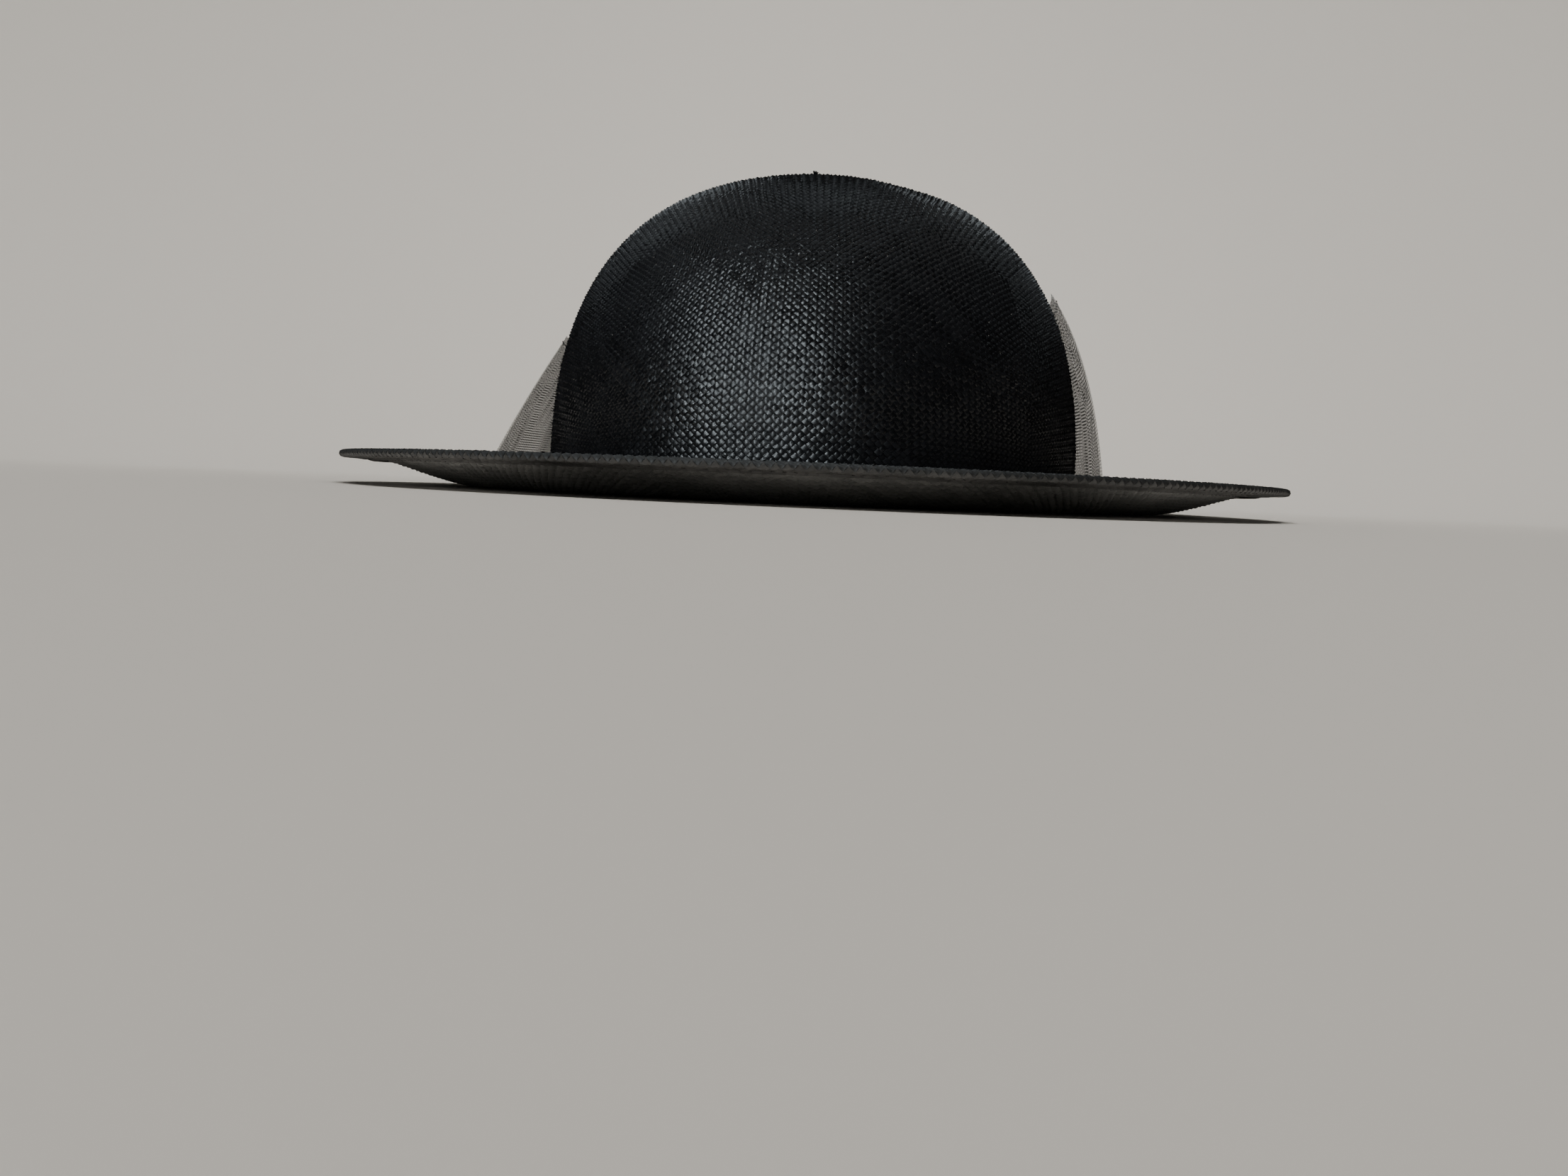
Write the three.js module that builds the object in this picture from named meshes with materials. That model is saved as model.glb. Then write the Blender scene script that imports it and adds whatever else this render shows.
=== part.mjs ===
// A black straw sun hat: a round woven crown, a brim that dips and then sweeps up to a hemmed
// edge, and a sheer net that falls round the back of the crown.
// Millimetres, +Z up. The front faces -Y, and z = 0 is the surface that the brim rests on.
import * as THREE from "three";

// Walls, and the clearance that sewn pieces keep
const STRAW_WALL = 1.2;
const HEM_WALL = 1.0;
const NET_WALL = 1.0;
const SEAM_GAP = 0.3;

// Crown: an oval dome, measured on the outside of the straw
const CROWN_HALF_WIDTH = 85;
const CROWN_HALF_DEPTH = 99;
const CROWN_TOP = 99.2;
const CROWN_TOP_POWER = 2.7; // higher: flatter on top
const CROWN_SIDE_POWER = 2.45; // higher: steeper sides
const CROWN_DENTS = [{ side: 26, front: -45, depth: 1.5, spread: 9 }];

// Brim: its underside, from the crown's outside at the headline to the edge
const BRIM_WIDTH = 60;
const BRIM_SECTION = [
  { reach: -STRAW_WALL, lift: 3.4 },
  { reach: 5, lift: 2.3 },
  { reach: 11, lift: 0.9 },
  { reach: 18, lift: 0 },
  { reach: 24, lift: 0 },
  { reach: 30, lift: 1.2 },
  { reach: 36, lift: 2.9 },
  { reach: 42, lift: 4.9 },
  { reach: 48, lift: 6.7 },
  { reach: 54, lift: 7.8 },
  { reach: BRIM_WIDTH, lift: 8.3 },
];

// Hem: the straw turned under at the edge
const HEM_WIDTH = 9;
const HEM_LIP = 1.8; // how far the fold shows on the brim's upper side
const HEM_ROUNDING = 0.8;

// Net: stations an even angle apart, from the right side round the back to the left side
const NET_FIRST_ANGLE = -15;
const NET_LAST_ANGLE = 195;
const NET_STATIONS = [
  { top: 67, spread: 8, curve: 0.95 },
  { top: 62, spread: 10, curve: 1.0 },
  { top: 57, spread: 15, curve: 1.05 },
  { top: 54, spread: 20, curve: 1.1 },
  { top: 52, spread: 22, curve: 1.1 },
  { top: 50, spread: 22, curve: 1.1 },
  { top: 48, spread: 20, curve: 1.15 },
];
const NET_FLUTES = 13;
const NET_FLUTE_DEPTH = 1.8;
const NET_GAP = 0.45; // from the crown, a little over the seam gap because both are faceted

// Facets
const ROUND_STEPS = 64;
const CROWN_OUTER_STEPS = 20;
const CROWN_INNER_STEPS = 13;
const NET_STEPS = 52;
const NET_FALL_STEPS = 8;

const FULL_TURN = 2 * Math.PI;
const RIGHT_ANGLE = Math.PI / 2;

// One closed surface over a row of loops that all have the same number of points.
// ends: "joined" ties the last loop to the first, "poles" closes each end with a point,
// and "strips" closes each end across its own loop.
function skin(loops, ends, poles = []) {
  const around = loops[0].length;
  const points = [...loops.flat(), ...poles];
  const faces = [];
  const spans = ends === "joined" ? loops.length : loops.length - 1;
  const last = (loops.length - 1) * around;
  for (let i = 0; i < spans; i += 1) {
    const here = i * around;
    const next = ((i + 1) % loops.length) * around;
    for (let j = 0; j < around; j += 1) {
      const k = (j + 1) % around;
      faces.push(here + j, here + k, next + k);
      faces.push(here + j, next + k, next + j);
    }
  }
  if (ends === "poles") {
    const firstPole = loops.length * around;
    const lastPole = firstPole + 1;
    for (let j = 0; j < around; j += 1) {
      const k = (j + 1) % around;
      faces.push(firstPole, k, j);
      faces.push(lastPole, last + j, last + k);
    }
  }
  if (ends === "strips") {
    for (let j = 0; j < around / 2 - 1; j += 1) {
      const a = around - 1 - j;
      faces.push(j, a, j + 1);
      faces.push(j + 1, a, a - 1);
      faces.push(last + j, last + j + 1, last + a);
      faces.push(last + j + 1, last + a - 1, last + a);
    }
  }
  const geometry = new THREE.BufferGeometry().setFromPoints(points);
  geometry.setIndex(faces);
  geometry.computeVertexNormals();
  return geometry;
}

// The height of a section's line at a given reach
function alongSection(rows, reach) {
  const after = rows.findIndex((row) => row.reach >= reach);
  const next = Math.max(1, after < 0 ? rows.length - 1 : after);
  const from = rows[next - 1];
  const to = rows[next];
  const share = (reach - from.reach) / (to.reach - from.reach);
  return THREE.MathUtils.lerp(from.lift, to.lift, share);
}

const brimUnderside = (reach) => alongSection(BRIM_SECTION, reach);
const brimUpperSide = (reach) => brimUnderside(reach) + STRAW_WALL;

// A level oval round the crown's foot, a given reach outside it
function ovalRing(reach, height) {
  return Array.from({ length: ROUND_STEPS }, (_, i) => {
    const angle = (FULL_TURN * i) / ROUND_STEPS;
    const x = (CROWN_HALF_WIDTH + reach) * Math.cos(angle);
    const y = (CROWN_HALF_DEPTH + reach) * Math.sin(angle);
    return new THREE.Vector3(x, y, height);
  });
}

// Crown
const CROWN_FOOT = brimUpperSide(-STRAW_WALL) + SEAM_GAP;

function crownDent(x, y) {
  return CROWN_DENTS.reduce((sum, dent) => {
    const away = Math.hypot(x - dent.side, y - dent.front);
    return sum + dent.depth * Math.exp(-((away / dent.spread) ** 2));
  }, 0);
}

// turn runs from 0 at the foot to a right angle at the top
function crownPoint(angle, turn, inset) {
  const height = Math.sin(turn) ** (2 / CROWN_SIDE_POWER);
  const width = Math.max(0, Math.cos(turn)) ** (2 / CROWN_TOP_POWER);
  const x = (CROWN_HALF_WIDTH - inset) * width * Math.cos(angle);
  const y = (CROWN_HALF_DEPTH - inset) * width * Math.sin(angle);
  const z = CROWN_FOOT + (CROWN_TOP - inset - CROWN_FOOT) * height;
  return new THREE.Vector3(x, y, z - crownDent(x, y) * height);
}

function crownRings(steps, inset) {
  return Array.from({ length: steps }, (_, row) =>
    Array.from({ length: ROUND_STEPS }, (_, i) =>
      crownPoint((FULL_TURN * i) / ROUND_STEPS, (RIGHT_ANGLE * row) / steps, inset),
    ),
  );
}

function crownGeometry() {
  const inside = crownRings(CROWN_INNER_STEPS, STRAW_WALL).reverse();
  const outside = crownRings(CROWN_OUTER_STEPS, 0);
  const poles = [crownPoint(0, RIGHT_ANGLE, STRAW_WALL), crownPoint(0, RIGHT_ANGLE, 0)];
  return skin([...inside, ...outside], "poles", poles);
}

// Brim: its wall stops short of the edge, where the hem's fold takes over
function brimGeometry() {
  const wallEnd = BRIM_WIDTH - HEM_LIP - SEAM_GAP;
  const reaches = BRIM_SECTION.map((row) => Math.min(row.reach, wallEnd));
  const under = reaches.map((reach) => ovalRing(reach, brimUnderside(reach)));
  const upper = reaches.map((reach) => ovalRing(reach, brimUpperSide(reach)));
  return skin([...under, ...upper.reverse()], "joined");
}

// Hem: a strip under the brim that folds round the edge and meets the end of the brim's wall
function hemGeometry() {
  const hemTop = (inset) => brimUnderside(BRIM_WIDTH - inset) - SEAM_GAP;
  const hemFoot = (inset) => hemTop(inset) - HEM_WALL;
  const foldTop = (inset) => brimUpperSide(BRIM_WIDTH - inset);
  const section = [
    { inset: HEM_WIDTH, height: hemFoot(HEM_WIDTH) },
    { inset: HEM_ROUNDING, height: hemFoot(HEM_ROUNDING) },
    { inset: 0, height: hemFoot(0) + HEM_ROUNDING },
    { inset: 0, height: foldTop(0) - HEM_ROUNDING },
    { inset: HEM_ROUNDING, height: foldTop(HEM_ROUNDING) },
    { inset: HEM_LIP, height: foldTop(HEM_LIP) },
    { inset: HEM_LIP, height: hemTop(HEM_LIP) },
    { inset: HEM_WIDTH, height: hemTop(HEM_WIDTH) },
  ];
  const rings = section.map((row) => ovalRing(BRIM_WIDTH - row.inset, row.height));
  return skin(rings, "joined");
}

// Net: follows the crown from its sewn top edge and stands further off it as it falls
function crownWidthAt(height) {
  const rise = THREE.MathUtils.clamp((height - CROWN_FOOT) / (CROWN_TOP - CROWN_FOOT), 0, 1);
  return (1 - rise ** CROWN_SIDE_POWER) ** (1 / CROWN_TOP_POWER);
}

function netGeometry() {
  const stations = new THREE.CatmullRomCurve3(
    NET_STATIONS.map((row) => new THREE.Vector3(row.top, row.spread, row.curve)),
  );
  const falls = Array.from({ length: NET_FALL_STEPS + 1 }, (_, i) => i / NET_FALL_STEPS);
  const loops = [];
  for (let step = 0; step <= NET_STEPS; step += 1) {
    const along = step / NET_STEPS;
    const degrees = THREE.MathUtils.lerp(NET_FIRST_ANGLE, NET_LAST_ANGLE, along);
    const angle = THREE.MathUtils.degToRad(degrees);
    const [top, spread, curve] = stations.getPoint(along).toArray();
    const fade = Math.sin(Math.PI * along);
    const flute = NET_FLUTE_DEPTH * fade * Math.cos(FULL_TURN * NET_FLUTES * along);
    const standOff = (fall) => NET_GAP + spread * fall ** curve + flute * fall ** 2;
    const footReach = standOff(1);
    const foot = Math.max(brimUpperSide(footReach), brimUpperSide(footReach + NET_WALL)) + SEAM_GAP;
    const netPoint = (fall, extra) => {
      const z = THREE.MathUtils.lerp(top, foot, fall);
      const width = crownWidthAt(z);
      const off = standOff(fall) + extra;
      const x = (CROWN_HALF_WIDTH * width + off) * Math.cos(angle);
      const y = (CROWN_HALF_DEPTH * width + off) * Math.sin(angle);
      return new THREE.Vector3(x, y, z);
    };
    const inner = falls.map((fall) => netPoint(fall, 0));
    const outer = falls.map((fall) => netPoint(fall, NET_WALL));
    loops.push([...outer, ...inner.reverse()]);
  }
  return skin(loops, "strips");
}

function piece(name, geometry, material) {
  const mesh = new THREE.Mesh(geometry, material);
  mesh.name = name;
  return mesh;
}

const glossyStraw = new THREE.MeshStandardMaterial({ color: 0x0c0c10, roughness: 0.42, metalness: 0 });
const brimStraw = new THREE.MeshStandardMaterial({ color: 0x141414, roughness: 0.6, metalness: 0 });
const hemStraw = new THREE.MeshStandardMaterial({ color: 0x121210, roughness: 0.6, metalness: 0 });
const sheerNet = new THREE.MeshStandardMaterial({
  color: 0x161512,
  roughness: 0.8,
  metalness: 0,
  transparent: true,
  opacity: 0.4,
});

const sunHat = new THREE.Group();
sunHat.name = "sun_hat";
sunHat.add(piece("crown", crownGeometry(), glossyStraw));
sunHat.add(piece("brim", brimGeometry(), brimStraw));
sunHat.add(piece("brim_hem", hemGeometry(), hemStraw));
sunHat.add(piece("net_drape", netGeometry(), sheerNet));

export default sunHat;
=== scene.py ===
# A black woven straw sun hat with a sheer net round the back of its crown, resting on its brim.
# Metres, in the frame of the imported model: +Z is up and the front faces -Y.
import math
import bpy
import numpy as np
from mathutils import Matrix, Vector


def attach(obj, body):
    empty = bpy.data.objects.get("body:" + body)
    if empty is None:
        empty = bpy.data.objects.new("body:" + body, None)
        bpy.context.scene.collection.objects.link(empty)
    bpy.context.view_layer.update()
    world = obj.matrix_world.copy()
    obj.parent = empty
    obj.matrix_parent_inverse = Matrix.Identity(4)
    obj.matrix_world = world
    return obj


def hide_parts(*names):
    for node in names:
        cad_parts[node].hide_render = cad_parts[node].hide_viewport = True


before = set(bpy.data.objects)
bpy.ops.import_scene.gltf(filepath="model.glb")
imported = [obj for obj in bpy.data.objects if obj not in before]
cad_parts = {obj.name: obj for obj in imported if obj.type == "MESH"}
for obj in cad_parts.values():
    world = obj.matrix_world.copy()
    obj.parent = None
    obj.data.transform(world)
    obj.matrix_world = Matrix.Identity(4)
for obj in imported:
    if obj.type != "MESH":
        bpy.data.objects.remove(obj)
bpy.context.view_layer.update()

# Studio
# Plain pale paper lies flat under the hat and curves up all round it, and the straw mirrors only its flat
# part. A tall narrow lamp and a wide soft one at the front left give the crown its highlight, and weaker
# ones light its sides and back. Other lamps light the brim and net, the brim's underside or the paper.
RIGHT_ANGLE = 0.5 * math.pi
FULL_CIRCLE = 360
PAPER_FLAT_RADIUS = 0.75
PAPER_BEND_RADIUS = 1.2
PAPER_TOP = 2.6
PAPER_BEND_STEPS = 24
PAPER_ROUND_STEPS = 120
PAPER_COLOUR = (0.78, 0.76, 0.725, 1.0)
PAPER_ROUGHNESS = 0.9
BACK_FIRST_ANGLE = 125
BACK_LAST_ANGLE = 235


def studio_place(angle, reach, height):
    """A place in the studio: degrees round from the front to the right, and metres out and up."""
    turn = math.radians(angle)
    return Vector((reach * math.sin(turn), -reach * math.cos(turn), height))


def scene_object(name, data):
    """A new object in the scene, which shows a mesh, a lamp or a camera."""
    made = bpy.data.objects.new(name, data)
    bpy.context.scene.collection.objects.link(made)
    return made


def paper_piece(name, points, faces, finish):
    """A piece of the studio's paper, which isn't part of the hat."""
    mesh = bpy.data.meshes.new(name)
    mesh.from_pydata(points, [], faces)
    mesh.shade_smooth()
    mesh.materials.append(finish)
    made = scene_object(name, mesh)
    return made


def paper_backdrop(name, first_angle, last_angle, finish):
    """The paper that curves up from the floor, from one angle round the studio to another."""
    steps = round(PAPER_ROUND_STEPS * (last_angle - first_angle) / FULL_CIRCLE)
    line = []
    for step in range(PAPER_BEND_STEPS + 1):
        bend = RIGHT_ANGLE * step / PAPER_BEND_STEPS
        reach = PAPER_FLAT_RADIUS + PAPER_BEND_RADIUS * math.sin(bend)
        line.append((reach, PAPER_BEND_RADIUS * (1 - math.cos(bend))))
    line.append((PAPER_FLAT_RADIUS + PAPER_BEND_RADIUS, PAPER_TOP))
    points, faces = [], []
    for number in range(steps + 1):
        angle = first_angle + (last_angle - first_angle) * number / steps
        points += [studio_place(angle, reach, height) for reach, height in line]
    for number in range(steps):
        for row in range(len(line) - 1):
            here = number * len(line) + row
            beside = here + len(line)
            faces.append((here, beside, beside + 1, here + 1))
    return paper_piece(name, points, faces, finish)


paper_finish = bpy.data.materials.new("pale_paper")
paper_finish.use_nodes = True
paper_shader = paper_finish.node_tree.nodes["Principled BSDF"]
paper_shader.inputs["Base Color"].default_value = PAPER_COLOUR
paper_shader.inputs["Roughness"].default_value = PAPER_ROUGHNESS
floor_angles = [FULL_CIRCLE * step / PAPER_ROUND_STEPS for step in range(PAPER_ROUND_STEPS)]
floor_rim = [studio_place(angle, PAPER_FLAT_RADIUS, 0) for angle in floor_angles]
studio_floor = paper_piece("studio_floor", floor_rim, [tuple(range(PAPER_ROUND_STEPS))], paper_finish)
studio_back = paper_backdrop("studio_back", BACK_FIRST_ANGLE, BACK_LAST_ANGLE, paper_finish)
studio_back.visible_glossy = False
front_first_angle = BACK_LAST_ANGLE - FULL_CIRCLE
studio_front = paper_backdrop("studio_front", front_first_angle, BACK_FIRST_ANGLE, paper_finish)
studio_front.visible_diffuse = False
studio_front.visible_glossy = False

# What a lamp lights: all but the paper, the paper alone, or the brim, hem and net alone
hat_only = bpy.data.collections.new("hat_only")
paper_only = bpy.data.collections.new("paper_only")
brim_and_net = bpy.data.collections.new("brim_and_net")
for paper in (studio_floor, studio_back, studio_front):
    hat_only.objects.link(paper)
    paper_only.objects.link(paper)
for entry in hat_only.collection_objects:
    entry.light_linking.link_state = "EXCLUDE"

HAT_MIDDLE = Vector((0.0, 0.0, 0.05))
ABOVE_HAT = Vector((0.0, 0.0, 2.0))
COOL_LIGHT = (0.86, 0.95, 1.0)
WARM_LIGHT = (1.0, 0.97, 0.92)

# Each lamp: what it lights; its angle, reach and height; its width and height; its power and its colour
STUDIO_LAMPS = {
    "front_strip": (hat_only, (-26, 0.95, 0.38), (0.07, 0.66), 4.0, COOL_LIGHT),
    "front_halo": (hat_only, (-26, 0.95, 0.38), (0.7, 0.7), 2.4, COOL_LIGHT),
    "left_strip": (hat_only, (-110, 0.8, 0.8), (0.3, 0.6), 0.4, COOL_LIGHT),
    "right_strip": (hat_only, (110, 0.8, 0.8), (0.3, 0.6), 0.25, COOL_LIGHT),
    "back_strip": (hat_only, (180, 0.6, 0.12), (0.4, 0.08), 0.8, COOL_LIGHT),
    "back_left_strip": (hat_only, (-150, 0.8, 0.6), (0.2, 0.6), 0.45, COOL_LIGHT),
    "back_right_strip": (hat_only, (150, 0.8, 0.6), (0.2, 0.6), 0.4, COOL_LIGHT),
    "top_lamp": (hat_only, (180, 0.1, 1.2), (0.6, 0.6), 0.7, COOL_LIGHT),
    "paper_lamp": (paper_only, (0, 0.0, 1.5), (1.0, 1.0), 14.0, WARM_LIGHT),
    "brim_lamp": (brim_and_net, (180, 0.3, 1.2), (0.8, 0.8), 4.0, COOL_LIGHT),
}

# Glows just above the floor, for the brim's underside: reach and power by angle
FLOOR_GLOWS = {
    -90: (0.139, 0.1),
    -45: (0.146, 0.12),
    0: (0.153, 0.075),
    45: (0.146, 0.09),
    90: (0.139, 0.09),
}
FLOOR_GLOW_HEIGHT = 0.0003
FLOOR_GLOW_SIZE = (0.12, 0.06)

# Lamps that look out at the paper all round: power by angle
BACKDROP_LAMP_POWERS = {0: 4, 60: 4, 120: 5, 180: 9, 240: 5, 300: 4}
BACKDROP_LAMP_REACH = 0.7
BACKDROP_LAMP_HEIGHT = 1.4
BACKDROP_LAMP_SIZE = (0.5, 0.5)
BACKDROP_SPOT_HEIGHT = 0.7


def lamp(name, place, aim, size, power, colour):
    """A soft lamp, of a given width and height, that looks from one place at another."""
    light = bpy.data.lights.new(name, "AREA")
    light.shape = "RECTANGLE"
    light.size, light.size_y = size
    light.energy = power
    light.color = colour
    holder = scene_object(name, light)
    facing = (place - aim).to_track_quat("Z", "Y")
    holder.matrix_world = Matrix.LocRotScale(place, facing, None)
    return holder


for name, (lit, place, size, power, colour) in STUDIO_LAMPS.items():
    studio_lamp = lamp(name, studio_place(*place), HAT_MIDDLE, size, power, colour)
    studio_lamp.light_linking.receiver_collection = lit
for angle, (reach, power) in FLOOR_GLOWS.items():
    glow_place = studio_place(angle, reach, FLOOR_GLOW_HEIGHT)
    glow = lamp(f"floor_glow_{angle}", glow_place, ABOVE_HAT, FLOOR_GLOW_SIZE, power, WARM_LIGHT)
    glow.visible_glossy = False
for angle, power in BACKDROP_LAMP_POWERS.items():
    spot = studio_place(angle, PAPER_FLAT_RADIUS + PAPER_BEND_RADIUS, BACKDROP_SPOT_HEIGHT)
    place = studio_place(angle, BACKDROP_LAMP_REACH, BACKDROP_LAMP_HEIGHT)
    lamp(f"backdrop_lamp_{angle}", place, spot, BACKDROP_LAMP_SIZE, power, WARM_LIGHT)

AIR_COLOUR = (1.0, 0.97, 0.93, 1.0)
AIR_STRENGTH = 0.02
world = bpy.data.worlds.new("soft_light")
world.use_nodes = True
background = world.node_tree.nodes["Background"]
background.inputs["Color"].default_value = AIR_COLOUR
background.inputs["Strength"].default_value = AIR_STRENGTH
bpy.context.scene.world = world

CAMERA_PLACE = (0.0025, -0.3807, 0.004)
CAMERA_YAW = math.radians(1.5)
CAMERA_PITCH = math.radians(-5.1)
CAMERA_ROLL = math.radians(2.45)
CAMERA_SENSOR_WIDTH = 36
CAMERA_LENS = 26
CAMERA_NEAREST = 0.001
camera_data = bpy.data.cameras.new("camera")
camera_data.sensor_width = CAMERA_SENSOR_WIDTH
camera_data.lens = CAMERA_LENS
camera_data.clip_start = CAMERA_NEAREST
camera = scene_object("camera", camera_data)
camera_turn = Matrix.Rotation(CAMERA_YAW, 4, "Z")
camera_turn = camera_turn @ Matrix.Rotation(RIGHT_ANGLE + CAMERA_PITCH, 4, "X")
camera_turn = camera_turn @ Matrix.Rotation(CAMERA_ROLL, 4, "Z")
camera.matrix_world = Matrix.Translation(CAMERA_PLACE) @ camera_turn
bpy.context.scene.camera = camera

# Crown
# An oval dome of flat, glossy black straws, woven over and under on the slant and blocked to shape.
# The weave is square across the top, and each edge of that square runs on down the wall below it.
STRAW_WALL = 0.0012
CROWN_HALF_WIDTH = 0.085
CROWN_HALF_DEPTH = 0.099
CROWN_FOOT = 0.0049
CROWN_TOP = 0.0992
CROWN_TOP_POWER = 2.7
CROWN_SIDE_POWER = 2.45
DENT_SIDE = 0.026
DENT_FRONT = -0.045
DENT_DEPTH = 0.0015
DENT_SPREAD = 0.009
TOP_HALF_COLUMNS = 32
TOP_HALF_ROWS = 31.5
WALL_ROWS = 39
SIDE_FIRST_ROW = 0.0
FRONT_FIRST_ROW = 0.5
SEAM_ROWS = 0.5
WEAVE_SPREAD = 0.6
CROWN_STRAW_COVER = 0.88
CROWN_STRAW_LIFT = 0.00046
CROWN_PIECES = 3
CROWN_SEED = 11
CROWN_DARK = (0.003, 0.003, 0.0035, 1.0)
CROWN_PALE = (0.01, 0.01, 0.0115, 1.0)
CROWN_ROUGHNESS = 0.22
FULL_TURN = 2 * math.pi

# How far down the crown's side each turn of its outline lies
OUTLINE_POINTS = 3000
outline_turns = np.linspace(RIGHT_ANGLE, 0, OUTLINE_POINTS)
outline_width = np.maximum(np.cos(outline_turns), 0) ** (2 / CROWN_TOP_POWER)
outline_reach = 0.5 * (CROWN_HALF_WIDTH + CROWN_HALF_DEPTH) * outline_width
outline_height = (CROWN_TOP - CROWN_FOOT) * np.sin(outline_turns) ** (2 / CROWN_SIDE_POWER)
outline_steps = np.hypot(np.diff(outline_reach), np.diff(outline_height))
outline_way = np.concatenate([[0], np.cumsum(outline_steps)])
crown_slope_length = outline_way[-1]


def crown_at(share, angle):
    """The middle of the straw wall: share runs from 0 at the top to 1 at the foot."""
    turn = np.interp(share * crown_slope_length, outline_way, outline_turns)
    height = np.sin(turn) ** (2 / CROWN_SIDE_POWER)
    width = np.maximum(np.cos(turn), 0) ** (2 / CROWN_TOP_POWER)
    inset = 0.5 * STRAW_WALL
    x = (CROWN_HALF_WIDTH - inset) * width * np.cos(angle)
    y = (CROWN_HALF_DEPTH - inset) * width * np.sin(angle)
    away = np.hypot(x - DENT_SIDE, y - DENT_FRONT)
    dent = DENT_DEPTH * np.exp(-((away / DENT_SPREAD) ** 2))
    below = np.maximum(share - 1, 0) * crown_slope_length
    z = CROWN_FOOT + (CROWN_TOP - inset - CROWN_FOOT) * height - dent * height - below
    return np.stack([x, y, z], axis=-1)


def lattice_tangent(share):
    """Spaces crossings more evenly over the dome: share runs from -1 to 1 across a patch."""
    return np.tan(WEAVE_SPREAD * share) / math.tan(WEAVE_SPREAD)


def crown_top_at(column, row):
    """The square of weave across the crown's top."""
    side = lattice_tangent(column / TOP_HALF_COLUMNS)
    depth = lattice_tangent(row / TOP_HALF_ROWS)
    return crown_at(np.arctan(np.hypot(side, depth)) / RIGHT_ANGLE, np.arctan2(depth, side))


def crown_wall_below(middle, half_columns, first_row):
    """The wall below one edge of the top square; middle is the angle of that edge's middle."""

    def surface(column, row):
        across = lattice_tangent(column / half_columns)
        rise = lattice_tangent(1 - (row - first_row) / WALL_ROWS)
        share = np.arctan2(np.hypot(1, across), rise) / RIGHT_ANGLE
        return crown_at(share, middle + np.arctan(across))

    return surface


# Straws: two crossings to a column, and a point at every half crossing
STRAW_STEP = 0.25
SHORTEST_STRAW = 0.4
SLOPE_STEP = 0.1


def straw(surface, column, row, lean, outward, over):
    """A straw's middle line on a surface, half a crossing from point to point, as rows of a table:
    where it lies, which way is out, how far it stands out or in, and how far off the next straw is."""
    by_column = surface(column + SLOPE_STEP, row) - surface(column - SLOPE_STEP, row)
    by_column /= 2 * SLOPE_STEP
    by_row = surface(column, row + SLOPE_STEP) - surface(column, row - SLOPE_STEP)
    by_row /= 2 * SLOPE_STEP
    out = outward * np.cross(by_column, by_row)
    out /= np.linalg.norm(out, axis=-1, keepdims=True)
    run = by_column + lean * by_row
    run /= np.linalg.norm(run, axis=-1, keepdims=True)
    next_straw = 0.5 * (by_column - lean * by_row)
    along = np.sum(next_straw * run, axis=-1, keepdims=True)
    width = np.linalg.norm(next_straw - along * run, axis=-1)
    rise = over * np.cos(FULL_TURN * column)
    return np.column_stack([surface(column, row), out, rise, width])


def patch_straws(columns, rows, lean, surface, outward, over):
    """The straws that lean one way over a patch of the weave."""
    first, last = columns
    low, high = rows
    sums = [column - lean * row for column in columns for row in rows]
    straws = []
    for total in range(math.ceil(min(sums)), math.floor(max(sums)) + 1):
        ends = sorted((total + lean * low, total + lean * high))
        start = max(first, ends[0])
        stop = min(last, ends[1])
        if stop - start > SHORTEST_STRAW:
            column = np.arange(start, stop + 0.5 * STRAW_STEP, STRAW_STEP)
            straws.append(straw(surface, column, lean * (column - total), lean, outward, over))
    return straws


# Straw ends meet in one cell of this many micrometres, and those that run straight enough join
MICROMETRES_IN_METRE = 1e6
MEETING_SIZE = 20
STRAIGHT_ENOUGH = 0.3


def joined_straws(straws):
    """Joins straws that run on from one patch of the weave into the next, end to end."""
    meetings = {}
    for number, table in enumerate(straws):
        for end in (0, -1):
            place = np.round(table[end, :3] * MICROMETRES_IN_METRE).astype(int) // MEETING_SIZE
            meetings.setdefault(tuple(place), []).append((number, end))

    def heading(number, end):
        inside = 1 if end == 0 else -2
        way = straws[number][end, :3] - straws[number][inside, :3]
        return way / np.linalg.norm(way)

    partner = {}
    for ends in meetings.values():
        choices = []
        for first in range(len(ends)):
            for second in range(first):
                straightness = -np.dot(heading(*ends[first]), heading(*ends[second]))
                choices.append((straightness, ends[first], ends[second]))
        for straightness, one, other in sorted(choices, reverse=True):
            if straightness > STRAIGHT_ENOUGH and one not in partner and other not in partner:
                partner[one] = other
                partner[other] = one
    whole = []
    used = set()
    for number in range(len(straws)):
        for end in (0, -1):
            if number in used or (number, end) in partner:
                continue
            run = []
            here = (number, end)
            while here is not None:
                current, entry = here
                used.add(current)
                table = straws[current] if entry == 0 else straws[current][::-1]
                run.append(table[1:] if run else table)
                here = partner.get((current, -1 if entry == 0 else 0))
            whole.append(np.concatenate(run))
    return whole


def smooth_object(name, points, faces, uv, finish):
    """A smooth mesh in the scene, with a UV map that its finish follows."""
    mesh = bpy.data.meshes.new(name)
    mesh.from_pydata(points.tolist(), [], faces.tolist())
    mesh.shade_smooth()
    layer = mesh.uv_layers.new(name="OFBake")
    corner_points = np.empty(len(mesh.loops), dtype=np.int32)
    mesh.loops.foreach_get("vertex_index", corner_points)
    layer.data.foreach_set("uv", uv[corner_points].ravel())
    mesh.materials.append(finish)
    return scene_object(name, mesh)


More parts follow.
